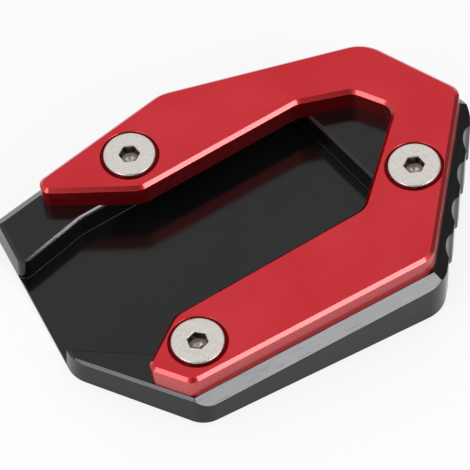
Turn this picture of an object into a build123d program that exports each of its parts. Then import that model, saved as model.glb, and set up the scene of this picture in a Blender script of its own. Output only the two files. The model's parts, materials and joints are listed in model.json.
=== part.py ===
from build123d import *
import math
import os

# Kickstand foot enlarger: a pitched black base with a pocket for the stand's foot, a red
# U-shaped plate that traps the foot in the pocket, and three countersunk socket screws.
# Sizes are in millimetres and angles in degrees. Plan sizes are taken from a datum in the
# pocket, with X running from the pocket's open end to its closed end and Y to the far side.

# The top of the base, called the land, is pitched against the flat underside
PITCH = 4.0
LAND_HEIGHT = 10.0

# Sides of the land: the direction that each one faces, and its distance from the datum
OPEN_END_ANGLE = 172.5
OPEN_END_REACH = 43.2
BACK_LEFT_ANGLE = 97.9
BACK_LEFT_REACH = 41.5
BACK_ANGLE = 72.2
BACK_REACH = 43.05
BACK_RIGHT_ANGLE = 23.6
BACK_RIGHT_REACH = 59.75
RIGHT_ANGLE = -41.6
RIGHT_REACH = 43.95
FRONT_ANGLE = -92.35
FRONT_REACH = 28.42
FRONT_LEFT_ANGLE = -146.4
FRONT_LEFT_REACH = 38.68

# Upright corners of the base, each named after the two sides that it joins
FRONT_LEFT_TO_OPEN_R = 7.5
OPEN_TO_BACK_LEFT_R = 2.0
BACK_LEFT_TO_BACK_R = 10.0
BACK_TO_BACK_RIGHT_R = 10.0
BACK_RIGHT_TO_RIGHT_R = 9.5
RIGHT_TO_FRONT_R = 8.0
FRONT_TO_FRONT_LEFT_R = 6.0

# Edge of the land: a broad bevel on five sides and a small chamfer on the other two
BEVEL_WIDTH = 2.65
BEVEL_DROP = 2.4
EDGE_CHAMFER = 0.65

# Grip bays cut down the right side; they stand a little back from its middle
BAY_COUNT = 4
BAY_PITCH = 9.85
BAY_RADIUS = 5.6
BAY_DEPTH = 1.15
BAY_OFFSET = 0.45

# Pocket for the stand's foot, with its walls given as the land's sides are
POCKET_DEPTH = 6.2
POCKET_RIM_CHAMFER = 0.7
POCKET_BACK_FLARE_ANGLE = 101.4
POCKET_BACK_FLARE_REACH = 31.7
POCKET_BACK_ANGLE = 90.0
POCKET_BACK_REACH = 27.5
POCKET_CLOSED_END_ANGLE = 5.9
POCKET_CLOSED_END_REACH = 35.1
POCKET_FRONT_ANGLE = -90.0
POCKET_FRONT_REACH = 14.8
POCKET_FRONT_FLARE_ANGLE = -128.2
POCKET_FRONT_FLARE_REACH = 27.7
POCKET_FLARE_R = 10.0
POCKET_CORNER_R = 3.5
MOUTH_BACK_R = 1.8

# Clamp plate: its outer sides are the land's, and these are the rest of its U
PLATE_THICKNESS = 6.0
PLATE_CHAMFER = 0.85
ARM_TIP_ANGLE = 160.0
ARM_TIP_REACH = 39.0
ARM_TIP_WIDTH = 3.48
FRONT_ARM_END_ANGLE = 124.1
FRONT_ARM_END_REACH = 4.2
FRONT_ARM_INNER_ANGLE = 90.0
FRONT_ARM_INNER_REACH = -9.9
BEND_RIGHT_ANGLE = 132.4
BEND_RIGHT_REACH = -25.65
BEND_TOP_ANGLE = -149.3
BEND_TOP_REACH = -45.95
BACK_ARM_SHOULDER_ANGLE = -111.2
BACK_ARM_SHOULDER_REACH = -32.25
BACK_ARM_INNER_ANGLE = -90.0
BACK_ARM_INNER_REACH = -22.6
BACK_ARM_SLANT_ANGLE = -123.3

# Upright corners of the clamp plate
ARM_TIP_R = 2.2
PLATE_BACK_LEFT_R = 8.0
PLATE_BACK_R = 9.0
PLATE_RIGHT_R = 3.5
PLATE_FRONT_R = 6.0
PLATE_FRONT_LEFT_R = 3.0
FRONT_ARM_END_R = 6.0
FRONT_INNER_R = 4.5
BEND_R = 3.5
SHOULDER_R = 4.5
BACK_INNER_R = 5.0
BACK_SLANT_R = 5.5

# Countersunk socket screws: their places in plan and the turn of each hexagon
SCREW_PLACES = {
    "clamp_screw_back": (-7.55, 31.89),
    "clamp_screw_right": (42.55, -7.21),
    "clamp_screw_front": (-21.7, -19.01),
}
SOCKET_TURN_BACK = 2.0
SOCKET_TURN_RIGHT = -27.3
SOCKET_TURN_FRONT = -27.3
SCREW_LENGTH = 12.0
SHANK_R = 3.0
SHANK_TIP_CHAMFER = 0.6
HEAD_R = 5.9
HEAD_RIM = 1.0
HEAD_EDGE_CHAMFER = 0.3
HEAD_PROUD = 0.6
SOCKET_ACROSS_FLATS = 4.0
SOCKET_DEPTH = 2.6
SOCKET_EDGE_CHAMFER = 0.25

# Fit of the screws in the plate and in the base
CLEARANCE_HOLE_R = 3.25
RECESS_GAP = 0.6
RECESS_EDGE_CHAMFER = 0.25
TAPPED_HOLE_GAP = 0.05
TAPPED_HOLE_DEPTH = 7.0

OPEN_END = (OPEN_END_ANGLE, OPEN_END_REACH)
BACK_LEFT = (BACK_LEFT_ANGLE, BACK_LEFT_REACH)
BACK = (BACK_ANGLE, BACK_REACH)
BACK_RIGHT = (BACK_RIGHT_ANGLE, BACK_RIGHT_REACH)
RIGHT = (RIGHT_ANGLE, RIGHT_REACH)
FRONT = (FRONT_ANGLE, FRONT_REACH)
FRONT_LEFT = (FRONT_LEFT_ANGLE, FRONT_LEFT_REACH)
POCKET_BACK_FLARE = (POCKET_BACK_FLARE_ANGLE, POCKET_BACK_FLARE_REACH)
ARM_TIP = (ARM_TIP_ANGLE, ARM_TIP_REACH)

LAND_SIDES = [OPEN_END, BACK_LEFT, BACK, BACK_RIGHT, RIGHT, FRONT, FRONT_LEFT]
BEVELLED_SIDES = [BACK_LEFT, BACK, BACK_RIGHT, RIGHT, FRONT]
SOCKET_TURNS = [SOCKET_TURN_BACK, SOCKET_TURN_RIGHT, SOCKET_TURN_FRONT]


def moved_out(side, distance):
    """Give a side moved outwards."""
    return (side[0], side[1] + distance)


def corner(side, next_side):
    """Find the point where two sides cross."""
    angle = math.radians(side[0])
    next_angle = math.radians(next_side[0])
    spread = math.sin(next_angle - angle)
    x = (side[1] * math.sin(next_angle) - next_side[1] * math.sin(angle)) / spread
    y = (next_side[1] * math.cos(angle) - side[1] * math.cos(next_angle)) / spread
    return (x, y)


def corners(sides):
    """Find the corners of an outline; each one is at the start of its side."""
    return [corner(sides[i - 1], sides[i]) for i in range(len(sides))]


def outline(sides, radii):
    """Make a face from its sides in order, with a radius at the start of each side."""
    return make_face(FilletPolyline(*corners(sides), radius=radii, close=True))


def foot_side(side):
    """Give the line of a side at the base's underside."""
    return moved_out(side, BEVEL_WIDTH if side in BEVELLED_SIDES else EDGE_CHAMFER)


def foot_outline():
    """Make the outline of the base's underside and of its upright sides."""
    radii = [
        FRONT_LEFT_TO_OPEN_R,
        OPEN_TO_BACK_LEFT_R,
        BACK_LEFT_TO_BACK_R,
        BACK_TO_BACK_RIGHT_R,
        BACK_RIGHT_TO_RIGHT_R,
        RIGHT_TO_FRONT_R,
        FRONT_TO_FRONT_LEFT_R,
    ]
    return outline([foot_side(side) for side in LAND_SIDES], radii)


def land_frame():
    """Give the place of the datum on the pitched land."""
    return Pos(0, 0, LAND_HEIGHT) * Rot(0, -PITCH, 0)


def crown(depth):
    """Make the block under the land whose flat sides slope out as the bevels and chamfers do."""
    lower_sides = []
    for side in LAND_SIDES:
        slope = BEVEL_WIDTH / BEVEL_DROP if side in BEVELLED_SIDES else 1.0
        lower_sides.append(moved_out(side, slope * depth))
    top = make_face(Polyline(*corners(LAND_SIDES), close=True))
    bottom = Pos(0, 0, -depth) * make_face(Polyline(*corners(lower_sides), close=True))
    return loft([bottom, top], ruled=True)


def pocket_outline():
    """Make the outline of the pocket, which runs out past the open end."""
    sides = [
        moved_out(OPEN_END, PLATE_THICKNESS),
        POCKET_BACK_FLARE,
        (POCKET_BACK_ANGLE, POCKET_BACK_REACH),
        (POCKET_CLOSED_END_ANGLE, POCKET_CLOSED_END_REACH),
        (POCKET_FRONT_ANGLE, POCKET_FRONT_REACH),
        (POCKET_FRONT_FLARE_ANGLE, POCKET_FRONT_FLARE_REACH),
    ]
    radii = [0, 0, POCKET_FLARE_R, POCKET_CORNER_R, POCKET_CORNER_R, POCKET_FLARE_R]
    return outline(sides, radii)


def pocket_well(height):
    """Make the space that is cut for the stand's foot, from its floor upwards."""
    return Pos(0, 0, -POCKET_DEPTH) * extrude(pocket_outline(), height)


def pocket_rim():
    """Make the sloping cut that chamfers the pocket's rim."""
    rim = extrude(pocket_outline(), 2 * POCKET_RIM_CHAMFER, taper=-45)
    return Pos(0, 0, -POCKET_RIM_CHAMFER) * rim


def back_mouth_edge(body):
    """Find the upright edge where the pocket's back wall meets the open end."""
    x, y = corner(POCKET_BACK_FLARE, foot_side(OPEN_END))
    upright = body.edges().filter_by(lambda edge: abs(edge.tangent_at(0.5).Z) > 0.9)
    return upright.sort_by_distance((x, y, LAND_HEIGHT / 2))[0]


def grip_bays(height):
    """Make the upright cylinders that scoop the bays out of the right side."""
    side = foot_side(RIGHT)
    start = Vector(*corner(foot_side(BACK_RIGHT), side))
    end = Vector(*corner(side, foot_side(FRONT)))
    along = (end - start).normalized()
    outward = Vector(1, 0).rotate(Axis.Z, side[0])
    middle = (start + end) * 0.5 - along * BAY_OFFSET + outward * (BAY_RADIUS - BAY_DEPTH)
    bays = []
    for i in range(BAY_COUNT):
        centre = middle + along * ((i - (BAY_COUNT - 1) / 2) * BAY_PITCH)
        bays.append(Pos(centre.X, centre.Y, 0) * extrude(Circle(BAY_RADIUS), height))
    return bays


def tapped_holes():
    """Make the blind holes that the screws thread into, taken from the land."""
    hole = extrude(Circle(SHANK_R + TAPPED_HOLE_GAP), -TAPPED_HOLE_DEPTH)
    return [Pos(x, y, 0) * hole for x, y in SCREW_PLACES.values()]


def base_plate():
    """Build the base with its pitched land, pocket, bays and tapped holes."""
    height = 2 * LAND_HEIGHT
    block = extrude(foot_outline(), height)
    body = split(block, bisect_by=Plane(land_frame()), keep=Keep.BOTTOM)
    body -= land_frame() * pocket_well(height)
    body = fillet(back_mouth_edge(body), MOUTH_BACK_R)
    body &= land_frame() * crown(height)
    body -= land_frame() * pocket_rim()
    body -= grip_bays(height)
    body -= [land_frame() * hole for hole in tapped_holes()]
    return body


def back_arm_slant():
    """Give the slanted inner side of the back arm, which starts where its tip ends."""
    tip_angle = math.radians(ARM_TIP_ANGLE)
    angle = math.radians(BACK_ARM_SLANT_ANGLE)
    x, y = corner(ARM_TIP, BACK_LEFT)
    x -= ARM_TIP_WIDTH * math.sin(tip_angle)
    y += ARM_TIP_WIDTH * math.cos(tip_angle)
    return (BACK_ARM_SLANT_ANGLE, x * math.cos(angle) + y * math.sin(angle))


def plate_outline():
    """Make the outline of the clamp plate, which follows the land all round its U."""
    sides = [
        ARM_TIP,
        BACK_LEFT,
        BACK,
        BACK_RIGHT,
        RIGHT,
        FRONT,
        FRONT_LEFT,
        (FRONT_ARM_END_ANGLE, FRONT_ARM_END_REACH),
        (FRONT_ARM_INNER_ANGLE, FRONT_ARM_INNER_REACH),
        (BEND_RIGHT_ANGLE, BEND_RIGHT_REACH),
        (BEND_TOP_ANGLE, BEND_TOP_REACH),
        (BACK_ARM_SHOULDER_ANGLE, BACK_ARM_SHOULDER_REACH),
        (BACK_ARM_INNER_ANGLE, BACK_ARM_INNER_REACH),
        back_arm_slant(),
    ]
    radii = [
        ARM_TIP_R,
        ARM_TIP_R,
        PLATE_BACK_LEFT_R,
        PLATE_BACK_R,
        PLATE_RIGHT_R,
        PLATE_FRONT_R,
        PLATE_FRONT_LEFT_R,
        ARM_TIP_R,
        FRONT_ARM_END_R,
        FRONT_INNER_R,
        BEND_R,
        SHOULDER_R,
        BACK_INNER_R,
        BACK_SLANT_R,
    ]
    return outline(sides, radii)


def seat_depth():
    """Give how far below the plate's top the cone of a screw head starts."""
    return HEAD_RIM - HEAD_PROUD


def screw_recess():
    """Make the stepped and countersunk hole for one screw, down from the plate's top."""
    mouth_r = HEAD_R + RECESS_GAP
    cone_end = seat_depth() + HEAD_R - CLEARANCE_HOLE_R
    profile = Polyline(
        (0, 0),
        (mouth_r + RECESS_EDGE_CHAMFER, 0),
        (mouth_r, -RECESS_EDGE_CHAMFER),
        (mouth_r, -seat_depth()),
        (HEAD_R, -seat_depth()),
        (CLEARANCE_HOLE_R, -cone_end),
        (CLEARANCE_HOLE_R, -PLATE_THICKNESS),
        (0, -PLATE_THICKNESS),
        close=True,
    )
    return revolve(make_face(Plane.XZ * profile), Axis.Z)


def clamp_plate():
    """Build the U-shaped plate that lies on the land."""
    plate = extrude(plate_outline(), PLATE_THICKNESS)
    plate = chamfer(plate.faces().sort_by(Axis.Z)[-1].edges(), PLATE_CHAMFER)
    for x, y in SCREW_PLACES.values():
        plate -= Pos(x, y, PLATE_THICKNESS) * screw_recess()
    return land_frame() * plate


def clamp_screw(x, y, turn):
    """Build one countersunk screw with a hexagon socket, seated in the plate."""
    cone_end = HEAD_RIM + HEAD_R - SHANK_R
    profile = Polyline(
        (0, 0),
        (HEAD_R - HEAD_EDGE_CHAMFER, 0),
        (HEAD_R, -HEAD_EDGE_CHAMFER),
        (HEAD_R, -HEAD_RIM),
        (SHANK_R, -cone_end),
        (SHANK_R, SHANK_TIP_CHAMFER - SCREW_LENGTH),
        (SHANK_R - SHANK_TIP_CHAMFER, -SCREW_LENGTH),
        (0, -SCREW_LENGTH),
        close=True,
    )
    screw = revolve(make_face(Plane.XZ * profile), Axis.Z)
    across_corners_r = SOCKET_ACROSS_FLATS / 2 / math.cos(math.radians(30))
    socket = extrude(RegularPolygon(across_corners_r, 6, rotation=turn), -SOCKET_DEPTH)
    lead_in = Pos(0, 0, -SOCKET_EDGE_CHAMFER) * Cone(
        across_corners_r - SOCKET_EDGE_CHAMFER,
        across_corners_r + SOCKET_EDGE_CHAMFER,
        2 * SOCKET_EDGE_CHAMFER,
    )
    top = PLATE_THICKNESS + HEAD_PROUD
    return land_frame() * Pos(x, y, top) * (screw - socket - lead_in)


def write(node, shape):
    """Write one node, moved so that the origin is under the middle of the base."""
    middle = foot_outline().bounding_box().center()
    placed = Pos(-middle.X, -middle.Y, 0) * shape
    placed.label = node
    export_step(placed, f"parts/{node}.step")


os.makedirs("parts", exist_ok=True)
write("base_plate", base_plate())
write("clamp_plate", clamp_plate())
for (screw_name, screw_place), socket_turn in zip(SCREW_PLACES.items(), SOCKET_TURNS):
    write(screw_name, clamp_screw(*screw_place, socket_turn))
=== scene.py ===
import json
import logging
import math
from dataclasses import dataclass
from enum import Enum

import bmesh
import bpy
import numpy as np
from mathutils import Matrix, Vector


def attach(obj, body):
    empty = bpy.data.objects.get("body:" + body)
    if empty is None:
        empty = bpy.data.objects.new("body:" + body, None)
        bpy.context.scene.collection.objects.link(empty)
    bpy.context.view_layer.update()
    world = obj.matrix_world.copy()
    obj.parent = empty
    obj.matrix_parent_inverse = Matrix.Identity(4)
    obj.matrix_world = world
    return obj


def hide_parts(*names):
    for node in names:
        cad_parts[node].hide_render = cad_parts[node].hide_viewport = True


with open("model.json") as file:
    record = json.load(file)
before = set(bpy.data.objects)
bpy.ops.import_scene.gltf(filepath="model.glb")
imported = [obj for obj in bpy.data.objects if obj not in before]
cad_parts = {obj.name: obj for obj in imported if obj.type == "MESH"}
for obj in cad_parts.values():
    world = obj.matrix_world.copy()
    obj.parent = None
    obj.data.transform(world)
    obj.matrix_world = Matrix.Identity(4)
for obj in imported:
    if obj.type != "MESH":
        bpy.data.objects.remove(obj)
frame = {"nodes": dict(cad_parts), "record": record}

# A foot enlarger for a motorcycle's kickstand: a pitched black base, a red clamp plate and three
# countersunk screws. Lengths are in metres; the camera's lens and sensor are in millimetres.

LOG = logging.getLogger("kickstand_foot_enlarger")
MM = 0.001
Points = np.ndarray
Socket = bpy.types.NodeSocket
Colour = tuple[float, float, float, float]
Triple = tuple[float, float, float]
Band = tuple[float, float]
# Two faces are joined by a sharp edge past the first turn, and are one flat face below the second.
EDGE_TURN = math.radians(24)
FLAT_TURN = math.radians(0.2)
# Points of a CAD mesh that lie closer than this are merged.
MERGE_GAP = 0.0005 * MM
# The parts of a noise's range over which a colour and a roughness run from end to end.
CLOUD_BAND = (0.35, 0.65)
GRAIN_BAND = (0.3, 0.7)
RANGE_SOCKETS = ("From Min", "From Max", "To Min", "To Max")


class Slot(Enum):
    """The record's material slots, one of which each plate names."""

    BLACK = "black_anodised"
    RED = "red_anodised"
    STEEL = "stainless"


class LandFrame:
    """The pitched frame that the pocket, the clamp plate and the screws are square to.

    Its X and Y run along the land and its Z is the land's normal. It is read from the mount
    on the pocket's floor, whose axis is that normal.
    """

    def __init__(self, seat: dict) -> None:
        """Set the frame up.

        Args:
            seat: The record's mount on the pocket floor.
        """
        normal = np.array(seat["axis"], float)
        normal /= np.linalg.norm(normal)
        along = np.cross((0.0, 1.0, 0.0), normal)
        along /= np.linalg.norm(along)
        self.axes: Points = np.array([along, np.cross(normal, along), normal])
        self.pitch: float = math.atan2(along[2], along[0])

    def to_row(self, points: Points) -> Points:
        """Turn points of this frame into points of the row frame: each times the three axes."""
        return points @ self.axes

    def from_row(self, points: Points) -> Points:
        """Turn points of the row frame into points of this frame."""
        return points @ self.axes.T

    def box(self, node: str) -> tuple[Points, Points]:
        """Measure a CAD node in this frame.

        Args:
            node: The node's name.

        Returns:
            Its lowest and its highest corner, in metres.
        """
        mesh = frame["nodes"][node].data
        found = np.empty(len(mesh.vertices) * 3, np.float32)
        mesh.vertices.foreach_get("co", found)
        turned = self.from_row(found.reshape(-1, 3).astype(float))
        return turned.min(axis=0), turned.max(axis=0)


class Shader:
    """A material's node tree, with short calls that add and link its nodes."""

    def __init__(self, name: str) -> None:
        """Start a material that holds one Principled shader.

        Args:
            name: The material's name.
        """
        self.material = bpy.data.materials.new(name)
        self.material.use_nodes = True
        self.tree = self.material.node_tree
        self.surface = self.tree.nodes["Principled BSDF"]
        self.coords = self.tree.nodes.new("ShaderNodeTexCoord").outputs["Object"]

    def link(self, source: Socket, node: bpy.types.Node, socket: str | int) -> None:
        """Link the output source to the input of a node that socket names or numbers."""
        self.tree.links.new(source, node.inputs[socket])

    def set(self, **values: float | Colour) -> None:
        """Set the Principled shader's own sockets; an underscore in a name stands for a space."""
        for name, value in values.items():
            self.surface.inputs[name.replace("_", " ")].default_value = value

    def mapped(self, turn: Triple, scale: Triple) -> Socket:
        """Turn and stretch the object coordinates.

        Args:
            turn: Rotation about X, Y and Z, in radians.
            scale: Factors along X, Y and Z, applied after the turn.

        Returns:
            The coordinates' socket.
        """
        turned = self.tree.nodes.new("ShaderNodeMapping")
        turned.inputs["Rotation"].default_value = turn
        self.link(self.coords, turned, "Vector")
        stretched = self.tree.nodes.new("ShaderNodeMapping")
        stretched.inputs["Scale"].default_value = scale
        self.link(turned.outputs[0], stretched, "Vector")
        return stretched.outputs[0]

    def noise(self, vector: Socket, scale: float, detail: float, rough: float = 0.5) -> Socket:
        """Add a noise texture.

        Args:
            vector: The coordinates that it reads.
            scale: How many waves it has in one unit of them.
            detail: How many finer layers are added.
            rough: How strong each finer layer is against the one before.

        Returns:
            The socket of its value, from 0 to 1.
        """
        node = self.tree.nodes.new("ShaderNodeTexNoise")
        node.inputs["Scale"].default_value = scale
        node.inputs["Detail"].default_value = detail
        node.inputs["Roughness"].default_value = rough
        self.link(vector, node, "Vector")
        return node.outputs["Fac"]

    def ramp(self, value: Socket, low: float, high: float, out_low: float, out_high: float) -> Socket:
        """Map a value from one range to another, clamped at both ends.

        Args:
            value: The value's socket.
            low: The value that gives out_low.
            high: The value that gives out_high.
            out_low: The result at low.
            out_high: The result at high.

        Returns:
            The result's socket.
        """
        node = self.tree.nodes.new("ShaderNodeMapRange")
        for name, number in zip(RANGE_SOCKETS, (low, high, out_low, out_high)):
            node.inputs[name].default_value = number
        self.link(value, node, "Value")
        return node.outputs["Result"]

    def math(self, kind: str, first: Socket, second: Socket | float) -> Socket:
        """Combine two values, or a value and a number.

        Args:
            kind: The Math node's operation.
            first: The first value.
            second: The second value or number.

        Returns:
            The result's socket.
        """
        node = self.tree.nodes.new("ShaderNodeMath")
        node.operation = kind
        self.link(first, node, 0)
        if isinstance(second, float):
            node.inputs[1].default_value = second
        else:
            self.link(second, node, 1)
        return node.outputs[0]

    def distance(self, vector: Socket, x: float, y: float) -> Socket:
        """Measure how far a vector's X and Y lie from a point.

        Args:
            vector: The vector's socket.
            x: The point's X.
            y: The point's Y.

        Returns:
            The socket of the distance in plan.
        """
        flat = self.tree.nodes.new("ShaderNodeVectorMath")
        flat.operation = "MULTIPLY"
        flat.inputs[1].default_value = (1.0, 1.0, 0.0)
        self.link(vector, flat, 0)
        away = self.tree.nodes.new("ShaderNodeVectorMath")
        away.operation = "DISTANCE"
        away.inputs[1].default_value = (x, y, 0.0)
        self.link(flat.outputs[0], away, 0)
        return away.outputs["Value"]

    def mixed(self, share: Socket, low: Colour | Socket, high: Colour) -> Socket:
        """Mix two colours.

        Args:
            share: How much of the second colour there is, from 0 to 1.
            low: The first colour, or its socket.
            high: The second colour.

        Returns:
            The mixed colour's socket.
        """
        node = self.tree.nodes.new("ShaderNodeMix")
        node.data_type = "RGBA"
        if isinstance(low, tuple):
            node.inputs["A"].default_value = low
        else:
            self.link(low, node, "A")
        node.inputs["B"].default_value = high
        self.link(share, node, "Factor")
        return node.outputs["Result"]

    def axis(self, vector: Socket, name: str) -> Socket:
        """Take one coordinate of a vector.

        Args:
            vector: The vector's socket.
            name: The coordinate: "X", "Y" or "Z".

        Returns:
            The coordinate's socket.
        """
        node = self.tree.nodes.new("ShaderNodeSeparateXYZ")
        self.link(vector, node, "Vector")
        return node.outputs[name]

    def tint(self, tone: Socket) -> None:
        """Drive the base colour."""
        self.link(tone, self.surface, "Base Color")

    def coat(self, value: Socket) -> None:
        """Drive how much clear coat there is."""
        self.link(value, self.surface, "Coat Weight")

    def rough(self, value: Socket) -> None:
        """Drive the roughness."""
        self.link(value, self.surface, "Roughness")

    def bump(self, height: Socket, distance: float) -> None:
        """Add a bump over any bump that is there already.

        Args:
            height: The height's socket, from 0 to 1.
            distance: The depth that a height of 1 stands for, in metres.
        """
        node = self.tree.nodes.new("ShaderNodeBump")
        node.inputs["Distance"].default_value = distance
        node.inputs["Strength"].default_value = 1.0
        self.link(height, node, "Height")
        earlier = self.surface.inputs["Normal"].links
        if earlier:
            self.link(earlier[0].from_socket, node, "Normal")
        self.link(node.outputs["Normal"], self.surface, "Normal")


def colour(red: float, green: float, blue: float) -> Colour:
    """Turn display values into the linear colour that a shader takes, by the sRGB curve.

    Args:
        red: The red value, from 0 to 255.
        green: The green value, from 0 to 255.
        blue: The blue value, from 0 to 255.

    Returns:
        The linear colour with an alpha of 1.
    """
    shown = np.array([red, green, blue]) / 255
    linear = np.where(shown > 0.04045, ((shown + 0.055) / 1.055) ** 2.4, shown / 12.92)
    return (*(float(part) for part in linear), 1.0)


@dataclass(frozen=True)
class RedAnodised:
    """Blasted and red-anodised aluminium, with bright cut chamfers, milled sides and painted shade round
    the screw heads.
    """

    land: LandFrame
    plate_top: float
    screws: tuple[tuple[float, float], ...]
    chamfer: float = 0.85 * MM
    recess_r: float = 6.58 * MM
    deep: Colour = colour(196, 50, 57)
    light: Colour = colour(202, 57, 64)
    cut: Colour = colour(204, 26, 30)
    side: Colour = colour(202, 20, 32)
    # Painted shade: the dark red that is painted into the rings round the screw heads.
    painted_shade_red: Colour = colour(104, 8, 14)
    top_roughness: float = 0.30
    cut_roughness: float = 0.27
    side_roughness: float = 0.43
    coat: float = 0.72
    coat_roughness: float = 0.10
    coat_ior: float = 1.8
    top_band: Band = (0.06 * MM, 0.02 * MM)
    soft: float = 0.03 * MM
    ring_soft: float = 0.05 * MM
    uneven: float = 0.02
    cloud_scale: float = 60.0
    grain_scale: float = 9000.0
    pass_scale: Triple = (25.0, 25.0, 2600.0)
    pass_depth: float = 0.09 * MM
    line_scale: Triple = (60.0, 60.0, 16000.0)
    line_depth: float = 0.022 * MM
    grain_depth: float = 0.003 * MM

    def painted_ring_shade(self, shader: Shader, pitched: Socket) -> Socket:
        """Find the rings round the screw heads, where shade is painted in as a dark red.

        Args:
            shader: The material's node tree.
            pitched: The coordinates in the pitched frame.

        Returns:
            A socket that is 1 in the rings and 0 elsewhere.
        """
        rings = [shader.distance(pitched, x, y) for x, y in self.screws]
        nearest = shader.math("MINIMUM", shader.math("MINIMUM", rings[0], rings[1]), rings[2])
        low, high = self.recess_r - self.ring_soft, self.recess_r + self.ring_soft
        return shader.ramp(nearest, low, high, 1.0, 0.0)

    def material(self) -> bpy.types.Material:
        """Make the material.

        Returns:
            The material, whose grain, milling lines and gloss follow the height on the plate.
        """
        shader = Shader("red_anodised_finish")
        shader.set(Metallic=1.0, Coat_Roughness=self.coat_roughness, Coat_IOR=self.coat_ior)
        turn = (0.0, self.land.pitch, 0.0)
        pitched = shader.mapped(turn, (1.0, 1.0, 1.0))
        height = shader.axis(pitched, "Z")
        edge = self.plate_top - self.chamfer
        low, high = (self.plate_top - depth for depth in self.top_band)
        on_top = shader.ramp(height, low, high, 0.0, 1.0)
        below = shader.ramp(height, edge - self.soft, edge + self.soft, 1.0, 0.0)
        cloud = shader.noise(shader.coords, self.cloud_scale, 3.0)
        cloudy = shader.mixed(shader.ramp(cloud, *CLOUD_BAND, 0.0, 1.0), self.deep, self.light)
        painted_ring_shade = self.painted_ring_shade(shader, pitched)
        edged = shader.mixed(shader.ramp(on_top, 0.0, 1.0, 1.0, 0.0), cloudy, self.cut)
        sided = shader.mixed(below, edged, self.side)
        # Painted shade: the rings round the screw heads are tinted dark red and left without coat.
        shader.tint(shader.mixed(painted_ring_shade, sided, self.painted_shade_red))
        uncoated = shader.math("MAXIMUM", painted_ring_shade, on_top)
        shader.coat(shader.ramp(uncoated, 0.0, 1.0, self.coat, 0.0))
        top = shader.math("MULTIPLY", on_top, self.top_roughness - self.cut_roughness)
        side = shader.math("MULTIPLY", below, self.side_roughness - self.cut_roughness)
        grain = shader.noise(shader.coords, self.grain_scale, 2.0, 0.6)
        smooth, dull = self.cut_roughness - self.uneven, self.cut_roughness + self.uneven
        speckle = shader.ramp(grain, *GRAIN_BAND, smooth, dull)
        shader.rough(shader.math("ADD", shader.math("ADD", top, side), speckle))
        passes = shader.noise(shader.mapped(turn, self.pass_scale), 1.0, 2.0)
        shader.bump(shader.math("MULTIPLY", passes, below), self.pass_depth)
        lines = shader.noise(shader.mapped(turn, self.line_scale), 1.0, 1.0)
        shader.bump(shader.math("MULTIPLY", lines, below), self.line_depth)
        shader.bump(shader.math("MULTIPLY", grain, on_top), self.grain_depth)
        return shader.material


@dataclass(frozen=True)
class BlackAnodised:
    """Milled aluminium anodised a glossy black."""

    land: LandFrame
    dark: Colour = (0.003, 0.003, 0.003, 1.0)
    pale: Colour = (0.005, 0.005, 0.005, 1.0)
    roughness: float = 0.13
    ior: float = 1.40
    cut: Colour = (0.062, 0.062, 0.064, 1.0)
    cut_slope: float = 0.72
    cut_spread: float = 0.10
    smoother: float = 0.02
    duller: float = 0.03
    cloud_scale: float = 45.0
    mark_scale: Triple = (40.0, 3000.0, 3000.0)
    mark_depth: float = 0.006 * MM
    line_scale: Triple = (24.0, 2400.0, 2400.0)
    line_depth: float = 0.018 * MM

    def material(self) -> bpy.types.Material:
        """Make the material.

        Returns:
            The material, with faint cutter marks along the length and a slightly uneven gloss.
        """
        shader = Shader("black_anodised_finish")
        shader.set(IOR=self.ior)
        cloud = shader.noise(shader.coords, self.cloud_scale, 4.0)
        cuts = self.on_cuts(shader)
        milled = shader.mixed(shader.ramp(cloud, *CLOUD_BAND, 0.0, 1.0), self.dark, self.pale)
        shader.tint(shader.mixed(cuts, milled, self.cut))
        shader.link(cuts, shader.surface, "Metallic")
        smooth, dull = self.roughness - self.smoother, self.roughness + self.duller
        shader.rough(shader.ramp(cloud, *GRAIN_BAND, smooth, dull))
        turn = (0.0, self.land.pitch, 0.0)
        marks = shader.noise(shader.mapped(turn, self.mark_scale), 1.0, 2.0)
        shader.bump(marks, self.mark_depth)
        lines = shader.noise(shader.mapped(turn, self.line_scale), 2.0, 1.0)
        shader.bump(shader.math("MULTIPLY", lines, cuts), self.line_depth)
        return shader.material

    def on_cuts(self, shader: Shader) -> Socket:
        """Find the bevels and chamfers, which lean by about 45 degrees.

        The lean is the dot product of the surface's normal and the land's, and a face counts
        where it is near cut_slope.

        Args:
            shader: The material's node tree.

        Returns:
            A socket that is 1 on them and 0 elsewhere.
        """
        lean = shader.tree.nodes.new("ShaderNodeVectorMath")
        lean.operation = "DOT_PRODUCT"
        lean.inputs[1].default_value = tuple(self.land.axes[2])
        shader.link(shader.tree.nodes["Texture Coordinate"].outputs["Normal"], lean, 0)
        past = shader.math("SUBTRACT", lean.outputs["Value"], self.cut_slope)
        off = shader.math("ABSOLUTE", past, 0.0)
        return shader.ramp(off, 0.5 * self.cut_spread, self.cut_spread, 1.0, 0.0)


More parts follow.
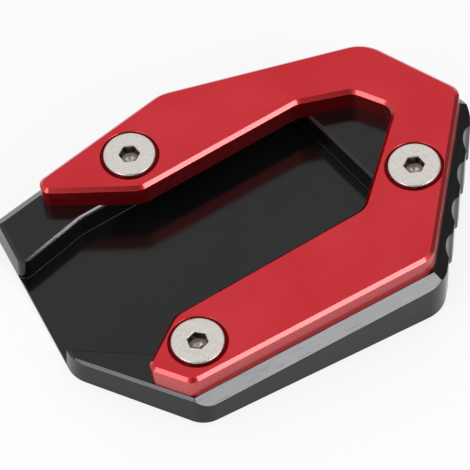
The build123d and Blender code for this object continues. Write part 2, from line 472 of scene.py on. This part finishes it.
@dataclass(frozen=True)
class TurnedSteel:
    """Stainless steel with a turned and brushed face, and shade painted onto the socket's walls as a
    darker steel colour.
    """

    name: str
    centre: Triple
    half_length: float
    pitch: float
    brushed: float
    deep: Colour = colour(207, 201, 195)
    light: Colour = colour(217, 213, 207)
    # Painted shade: the darker steel colour painted onto the socket's walls.
    painted_socket_shade: Colour = colour(122, 110, 104)
    drilled: Colour = colour(196, 190, 180)
    socket_r: float = 2.55 * MM
    socket_depth: float = 2.6 * MM
    socket_soft: float = 0.1 * MM
    wall_band: Band = (0.45 * MM, 0.1 * MM)
    cone_band: Band = (0.40 * MM, 0.15 * MM)
    smooth: float = 0.20
    dull: float = 0.36
    cone_polish: float = 0.16
    cloud_scale: float = 1300.0
    ring_scale: float = 1500.0
    ring_wander: float = 2.0
    ring_depth: float = 0.002 * MM
    brush_turn: Triple = (0.0, 0.0, 0.6)
    brush_scale: Triple = (200.0, 5000.0, 200.0)
    brush_depth: float = 0.05 * MM

    def material(self) -> bpy.types.Material:
        """Make the material.

        Returns:
            The material, with rings about the screw's own axis and brush marks across it.
        """
        shader = Shader(self.name)
        shader.set(Metallic=1.0)
        moved = shader.tree.nodes.new("ShaderNodeMapping")
        moved.vector_type = "TEXTURE"
        moved.inputs["Location"].default_value = self.centre
        moved.inputs["Rotation"].default_value = (0.0, -self.pitch, 0.0)
        shader.link(shader.coords, moved, "Vector")
        place = moved.outputs[0]
        rings = shader.tree.nodes.new("ShaderNodeTexWave")
        rings.wave_type = "RINGS"
        rings.rings_direction = "Z"
        rings.inputs["Scale"].default_value = self.ring_scale
        rings.inputs["Distortion"].default_value = self.ring_wander
        rings.inputs["Detail"].default_value = 2.0
        shader.link(place, rings, "Vector")
        brush = shader.noise(shader.mapped(self.brush_turn, self.brush_scale), 1.0, 3.0)
        cloud = shader.noise(shader.coords, self.cloud_scale, 4.0)
        face = shader.mixed(shader.ramp(cloud, *CLOUD_BAND, 0.0, 1.0), self.deep, self.light)
        height = shader.axis(place, "Z")
        top = self.half_length
        deep = shader.ramp(height, *(top - depth for depth in self.wall_band), 1.0, 0.0)
        away = shader.distance(place, 0.0, 0.0)
        near = shader.ramp(away, self.socket_r, self.socket_r + self.socket_soft, 1.0, 0.0)
        # Painted shade: inside the socket, from a little below the head's top down, the walls take the
        # darker colour.
        face_with_painted_shade = shader.mixed(shader.math("MULTIPLY", deep, near), face, self.painted_socket_shade)
        bottom = top - self.socket_depth
        cone = shader.ramp(height, *(bottom - depth for depth in self.cone_band), 1.0, 0.0)
        in_cone = shader.math("MULTIPLY", cone, near)
        shader.tint(shader.mixed(in_cone, face_with_painted_shade, self.drilled))
        inner = shader.math("MULTIPLY", in_cone, -self.cone_polish)
        outer = shader.ramp(brush, *GRAIN_BAND, self.smooth, self.dull)
        shader.rough(shader.math("ADD", outer, inner))
        shader.bump(rings.outputs["Fac"], self.ring_depth)
        shader.bump(brush, self.brushed * self.brush_depth)
        return shader.material


@dataclass(frozen=True)
class PaleFloor:
    """A pale floor that keeps a soft shadow under the part."""

    tone: float = 0.92
    roughness: float = 0.9
    white_share: float = 0.80
    gloss_share: float = 0.50

    def material(self) -> bpy.types.Material:
        """Make the material.

        Returns:
            The material: matt to the light, and close to white for the camera.
        """
        shader = Shader("pale_floor")
        shader.set(Base_Color=(self.tone, self.tone, self.tone, 1.0), Roughness=self.roughness)
        nodes = shader.tree.nodes
        white = nodes.new("ShaderNodeEmission")
        white.inputs["Strength"].default_value = 1.0
        path = nodes.new("ShaderNodeLightPath")
        camera = shader.math("MULTIPLY", path.outputs["Is Camera Ray"], self.white_share)
        gloss = shader.math("MULTIPLY", path.outputs["Is Glossy Ray"], self.gloss_share)
        share = shader.math("MAXIMUM", camera, gloss)
        mix = nodes.new("ShaderNodeMixShader")
        shader.link(share, mix, 0)
        shader.link(shader.surface.outputs[0], mix, 1)
        shader.link(white.outputs[0], mix, 2)
        shader.link(mix.outputs[0], nodes["Material Output"], "Surface")
        return shader.material


def mesh_object(name: str, points: Points, faces: list,
                material: bpy.types.Material) -> bpy.types.Object:
    """Put points and faces into a new mesh object at the origin.

    Args:
        name: The piece's name.
        points: One row for each point, in metres, in the row frame.
        faces: The corner indices of each face.
        material: The finish.

    Returns:
        The object, shaded smooth with its real edges kept sharp.
    """
    mesh = bpy.data.meshes.new(name)
    mesh.from_pydata(points.tolist(), [], [tuple(int(i) for i in face) for face in faces])
    return finished_object(name, mesh, material)


def finished_object(name: str, mesh: bpy.types.Mesh,
                    material: bpy.types.Material) -> bpy.types.Object:
    """Make an object of a mesh, with smooth faces and sharp real edges.

    Args:
        name: The piece's name.
        mesh: Its mesh.
        material: Its finish.

    Returns:
        The object, at the origin.
    """
    mesh.materials.clear()
    mesh.materials.append(material)
    mesh.polygons.foreach_set("use_smooth", np.ones(len(mesh.polygons), bool))
    mesh.set_sharp_from_angle(angle=EDGE_TURN)
    mesh.update()
    made = bpy.data.objects.new(name, mesh)
    bpy.context.scene.collection.objects.link(made)
    return made


def joined_copy(node: str, outer_share: float, sharp: float) -> bpy.types.Mesh:
    """Copy a CAD node's mesh, merge its loose triangles and weigh its sharp edges for a bevel.

    Args:
        node: The node's name.
        outer_share: Weight of the edges that stick out; those of the inner corners weigh 1.
        sharp: The smallest turn, in radians, that counts as an edge.

    Returns:
        The joined mesh.
    """
    work = bmesh.new()
    work.from_mesh(frame["nodes"][node].data)
    bmesh.ops.remove_doubles(work, verts=work.verts, dist=MERGE_GAP)
    bmesh.ops.dissolve_limit(work, angle_limit=FLAT_TURN, verts=work.verts, edges=work.edges)
    weights = work.edges.layers.float.new("bevel_weight_edge")
    for edge in work.edges:
        turn = edge.calc_face_angle_signed(0.0)
        if turn > sharp:
            edge[weights] = outer_share
        elif turn < -sharp:
            edge[weights] = 1.0
    mesh = bpy.data.meshes.new(node + "_joined")
    work.to_mesh(mesh)
    work.free()
    return mesh


@dataclass
class MilledPlate:
    """A milled plate that follows its CAD node, with its edges broken and its inner corners rounded."""

    node: str
    name: str
    slot: Slot
    edge_break: float
    inner_r: float
    sharp: float = EDGE_TURN

    def build(self, material: bpy.types.Material) -> bpy.types.Object:
        """Build the plate in place of its CAD node.

        Args:
            material: The plate's finish.

        Returns:
            The plate.
        """
        mesh = joined_copy(self.node, self.edge_break / self.inner_r, self.sharp)
        plate = finished_object(self.name, mesh, material)
        rounding = plate.modifiers.new("edge_break", "BEVEL")
        rounding.width = self.inner_r
        rounding.segments = 3
        rounding.limit_method = "WEIGHT"
        rounding.use_clamp_overlap = False
        rounding.harden_normals = True
        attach(plate, "root")
        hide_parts(self.node)
        return plate


@dataclass
class SocketScrew:
    """A countersunk socket screw, as one surface of rings about its axis."""

    node: str
    name: str
    socket_turn: float
    length: float = 12.0 * MM
    head_r: float = 5.9 * MM
    head_rim: float = 1.0 * MM
    edge_r: float = 0.45 * MM
    shank_r: float = 3.0 * MM
    thread_pitch: float = 1.0 * MM
    thread_depth: float = 0.54 * MM
    socket_flat: float = 2.05 * MM
    socket_depth: float = 2.6 * MM
    socket_break: float = 0.16 * MM
    drill_depth: float = 1.05 * MM
    drill_share: float = 0.86
    tip_chamfer: float = 0.6 * MM
    corner: float = 0.1 * MM
    neck_corner: float = 0.2 * MM
    pole_r: float = 0.0001 * MM
    crest_share: float = 0.0625
    flank_share: float = 0.375
    thread_rows: int = 10
    edge_rows: int = 6
    columns: int = 144

    def hexagon(self, angles: Points) -> Points:
        """Radius of the hexagon at each angle.

        The radius is the half width over the cosine of the angle from the nearest flat.

        Args:
            angles: One angle for each column.

        Returns:
            The radii.
        """
        sixth = math.pi / 3
        from_flat = np.mod(angles - math.radians(self.socket_turn), sixth) - sixth / 2
        return self.socket_flat / np.cos(from_flat)

    def thread(self, angles: Points, depths: Points) -> Points:
        """Radius of the thread.

        The radius falls from the crest by the thread's depth times a trapezoid wave of the
        depth in pitches less the angle in turns, and the wave fades in below the neck.

        Args:
            angles: One angle for each column.
            depths: One distance down the axis for each row.

        Returns:
            The radii, a row for each depth.
        """
        phase = np.mod(depths[:, None] / self.thread_pitch - angles[None, :] / (2 * math.pi), 1.0)
        wave = np.clip((np.abs(phase - 0.5) - self.crest_share) / self.flank_share, 0.0, 1.0)
        start = depths[0] + self.thread_pitch
        fade = np.clip((depths - start) / self.thread_pitch, 0.0, 1.0)[:, None]
        return self.shank_r - self.thread_depth * fade * (1 - wave)

    def rings(self, angles: Points) -> tuple[Points, Points]:
        """Give the radius and the height of every point, from the socket's middle to the tip's.

        Args:
            angles: One angle for each column.

        Returns:
            The radii and the heights, a row for each ring.
        """
        flat = np.ones_like(angles)
        socket = self.hexagon(angles)
        drilled = self.drill_share * self.socket_flat
        rows = [
            (self.pole_r * flat, -self.socket_depth - self.drill_depth),
            (0.5 * drilled * flat, -self.socket_depth - 0.5 * self.drill_depth),
            (drilled * flat, -self.socket_depth),
            (socket, -self.socket_depth + self.corner),
            (socket, -self.socket_break),
            (socket + self.socket_break, 0.0),
        ]
        inner = socket + self.socket_break
        outer = self.head_r - self.edge_r
        rows += [(inner + (outer - inner) * share, 0.0) for share in (0.25, 0.5, 0.75, 1.0)]
        for turn in np.linspace(0, math.pi / 2, self.edge_rows + 1)[1:]:
            radius = outer + self.edge_r * math.sin(turn)
            rows.append((radius * flat, -self.edge_r * (1 - math.cos(turn))))
        neck = self.head_rim + self.head_r - self.shank_r
        rows += [
            (self.head_r * flat, -self.head_rim),
            ((self.head_r - self.corner) * flat, -self.head_rim - self.corner),
            ((self.shank_r + self.neck_corner) * flat, -neck + self.neck_corner),
        ]
        tip = self.tip_chamfer
        steps = round((self.length - tip - neck) / self.thread_pitch * self.thread_rows)
        depths = np.linspace(neck, self.length - tip, steps)
        rows += list(zip(self.thread(angles, depths), -depths))
        rows += [((self.shank_r - tip) * flat, -self.length), (self.pole_r * flat, -self.length)]
        radii = np.array([row[0] for row in rows])
        heights = np.array([row[1] for row in rows])[:, None] * flat
        return radii, heights

    def build(self, land: LandFrame, material: bpy.types.Material) -> bpy.types.Object:
        """Build the screw in place of its CAD node.

        Each point stands at its ring's radius and height about the node's own axis.

        Args:
            land: The pitched frame that the screw is square to.
            material: The screw's finish.

        Returns:
            The screw.
        """
        low, high = land.box(self.node)
        middle = (low + high) / 2
        angles = np.linspace(0, 2 * math.pi, self.columns, endpoint=False)
        radii, heights = self.rings(angles)
        x = middle[0] + radii * np.cos(angles)
        y = middle[1] + radii * np.sin(angles)
        points = land.to_row(np.stack([x, y, high[2] + heights], axis=-1).reshape(-1, 3))
        screw = mesh_object(self.name, points, ring_faces(*radii.shape), material)
        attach(screw, "root")
        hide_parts(self.node)
        return screw


def ring_faces(rows: int, columns: int) -> list:
    """Join rings of points into four-cornered faces, and close the first and the last ring.

    Args:
        rows: How many rings there are, listed from the top's middle outwards and down.
        columns: How many points each ring has.

    Returns:
        The corner indices of each face, turned so that the faces point outwards.
    """
    row, column = np.meshgrid(np.arange(rows - 1), np.arange(columns), indexing="ij")
    after = (column + 1) % columns
    first = row * columns + column
    second = row * columns + after
    quads = np.stack([first, first + columns, second + columns, second], axis=-1).reshape(-1, 4)
    caps = [list(range(columns)), list(range(rows * columns - 1, (rows - 1) * columns - 1, -1))]
    return list(quads) + caps


def direction(azimuth: float, elevation: float) -> Vector:
    """Give the unit vector at an azimuth from the X axis and an elevation, both in degrees."""
    turn, tilt = math.radians(azimuth), math.radians(elevation)
    return Vector((math.cos(turn) * math.cos(tilt), math.sin(turn) * math.cos(tilt), math.sin(tilt)))


@dataclass(frozen=True)
class Lamp:
    """A soft lamp: its direction in degrees, its distance and size in metres, and its glow.

    A glow of 1 makes its face look white.
    """

    name: str
    azimuth: float
    elevation: float
    away: float
    width: float
    height: float
    glow: float

    def hang(self) -> None:
        """Hang the lamp so that it faces the part."""
        data = bpy.data.lights.new(self.name, "AREA")
        data.shape = "RECTANGLE"
        data.size, data.size_y = self.width, self.height
        data.energy = self.glow * math.pi * self.width * self.height
        made = bpy.data.objects.new(self.name, data)
        out = direction(self.azimuth, self.elevation)
        made.location = out * self.away
        made.rotation_mode = "QUATERNION"
        made.rotation_quaternion = out.to_track_quat("Z", "Y")
        made.visible_camera = False
        bpy.context.scene.collection.objects.link(made)


@dataclass(frozen=True)
class DimPart:
    """A round part of the sky that is dimmed, as a dark part of the room is.

    The dimming starts at the angle outer from its middle, is full at inner, and leaves share of
    the brightness.
    """

    azimuth: float
    elevation: float
    outer: float
    inner: float
    share: float

    def dimmed(self, tree: bpy.types.NodeTree, way: Socket, level: Socket) -> Socket:
        """Dim this part.

        Args:
            tree: The world's node tree.
            way: The socket of the direction that is looked in.
            level: The sky's brightness so far.

        Returns:
            The brightness with the part dimmed.
        """
        near = tree.nodes.new("ShaderNodeVectorMath")
        near.operation = "DOT_PRODUCT"
        near.inputs[1].default_value = direction(self.azimuth, self.elevation)
        tree.links.new(way, near.inputs[0])
        left = tree.nodes.new("ShaderNodeMapRange")
        left.interpolation_type = "SMOOTHSTEP"
        start, full = math.cos(math.radians(self.outer)), math.cos(math.radians(self.inner))
        for name, value in zip(RANGE_SOCKETS, (start, full, 1.0, self.share)):
            left.inputs[name].default_value = value
        tree.links.new(near.outputs["Value"], left.inputs["Value"])
        product = tree.nodes.new("ShaderNodeMath")
        product.operation = "MULTIPLY"
        tree.links.new(level, product.inputs[0])
        tree.links.new(left.outputs["Result"], product.inputs[1])
        return product.outputs[0]


@dataclass
class Studio:
    """The floor, the lamps and the camera."""

    aim: Triple = (-6.667 * MM, -0.444 * MM, 6.53 * MM)
    azimuth: float = -32.08
    elevation: float = 52.80
    roll: float = 0.57
    distance: float = 946.6 * MM
    lens: float = 326.4
    sensor: float = 36.0
    clip: Band = (0.05, 20.0)
    fill: float = 0.70
    overhead: float = 0.98
    rise_band: Band = (0.1, 0.75)
    floor_half: float = 3.0
    floor_gap: float = 0.02 * MM
    lamps: tuple[Lamp, ...] = (
        Lamp("key_right", -73.0, 34.0, 0.70, 0.34, 0.18, 5.8),
        Lamp("key_left", -168.0, 31.0, 0.70, 0.26, 0.26, 3.0),
    )
    dim_parts: tuple[DimPart, ...] = (
        DimPart(-3.0, 6.0, 40.0, 14.0, 0.30),
        DimPart(-112.0, 46.0, 36.0, 14.0, 0.24),
    )

    def camera(self) -> None:
        """Stand the camera at the photograph's angle."""
        back = direction(self.azimuth - 90.0, self.elevation)
        data = bpy.data.cameras.new("camera")
        data.lens = self.lens
        data.sensor_width = self.sensor
        data.clip_start, data.clip_end = self.clip
        made = bpy.data.objects.new("camera", data)
        upright = (-back).to_track_quat("-Z", "Y").to_matrix()
        rolled = upright @ Matrix.Rotation(math.radians(-self.roll), 3, "Z")
        made.matrix_world = Matrix.Translation(Vector(self.aim) + back * self.distance) @ rolled.to_4x4()
        bpy.context.scene.collection.objects.link(made)
        bpy.context.scene.camera = made

    def floor(self) -> None:
        """Lay the floor under the part."""
        half, low = self.floor_half, -self.floor_gap
        points = np.array([(-half, -half, low), (half, -half, low), (half, half, low), (-half, half, low)])
        made = mesh_object("floor", points, [(0, 1, 2, 3)], PaleFloor().material())

    def sky(self) -> None:
        """Make the even light all round, brighter overhead, with white behind for the camera."""
        world = bpy.data.worlds.new("studio")
        bpy.context.scene.world = world
        world.use_nodes = True
        nodes, links = world.node_tree.nodes, world.node_tree.links
        place = nodes.new("ShaderNodeTexCoord")
        split = nodes.new("ShaderNodeSeparateXYZ")
        links.new(place.outputs["Generated"], split.inputs[0])
        rise = nodes.new("ShaderNodeMapRange")
        rise.interpolation_type = "SMOOTHSTEP"
        for name, value in zip(RANGE_SOCKETS, (*self.rise_band, self.fill, self.overhead)):
            rise.inputs[name].default_value = value
        links.new(split.outputs["Z"], rise.inputs["Value"])
        level = rise.outputs["Result"]
        for part in self.dim_parts:
            level = part.dimmed(world.node_tree, place.outputs["Generated"], level)
        path = nodes.new("ShaderNodeLightPath")
        seen = nodes.new("ShaderNodeMix")
        seen.inputs["B"].default_value = 1.0
        links.new(path.outputs["Is Camera Ray"], seen.inputs["Factor"])
        links.new(level, seen.inputs["A"])
        links.new(seen.outputs["Result"], nodes["Background"].inputs["Strength"])
        nodes["Background"].inputs["Color"].default_value = (1.0, 1.0, 1.0, 1.0)

    def build(self) -> None:
        """Set the whole studio up."""
        self.camera()
        self.floor()
        for lamp in self.lamps:
            lamp.hang()
        self.sky()
        bpy.context.scene.view_settings.view_transform = "Standard"


@dataclass(frozen=True)
class ScrewSeat:
    """One screw: its place's name, its socket's turn in degrees and how strongly it is brushed."""

    place: str
    turn: float
    brushed: float

    @property
    def node(self) -> str:
        """Name the CAD node."""
        return f"clamp_screw_{self.place}"


SCREW_SEATS = (
    ScrewSeat("back", -26.9, 0.3),
    ScrewSeat("right", -27.0, 0.3),
    ScrewSeat("front", 15.3, 1.6),
)


def main() -> None:
    """Build the pieces in order and report each one."""
    logging.basicConfig(level=logging.INFO, format="%(name)s: %(message)s")
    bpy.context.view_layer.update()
    mounts = {mount["name"]: mount for mount in frame["record"]["mounts"]}
    land = LandFrame(mounts["stand_seat"])
    plate_top = float(land.box("clamp_plate")[1][2])
    Studio().build()
    places = {}
    for seat in SCREW_SEATS:
        low, high = land.box(seat.node)
        places[seat.place] = (low + high) / 2
    spots = tuple((float(place[0]), float(place[1])) for place in places.values())
    red = RedAnodised(land, plate_top, spots).material()
    black = BlackAnodised(land).material()
    built = [
        MilledPlate("base_plate", "base_plate_milled", Slot.BLACK, 0.10 * MM, 0.18 * MM).build(black),
        MilledPlate("clamp_plate", "clamp_plate_milled", Slot.RED, 0.08 * MM, 0.08 * MM).build(red),
    ]
    for seat in SCREW_SEATS:
        centre = tuple(land.to_row(places[seat.place]))
        screw = SocketScrew(seat.node, f"socket_screw_{seat.place}", seat.turn)
        name = f"turned_steel_{seat.place}"
        steel = TurnedSteel(name, centre, screw.length / 2, land.pitch, seat.brushed).material()
        built.append(screw.build(land, steel))
    for piece in built:
        LOG.info("built %s with %d faces", piece.name, len(piece.data.polygons))


if __name__ == "__main__":
    main()
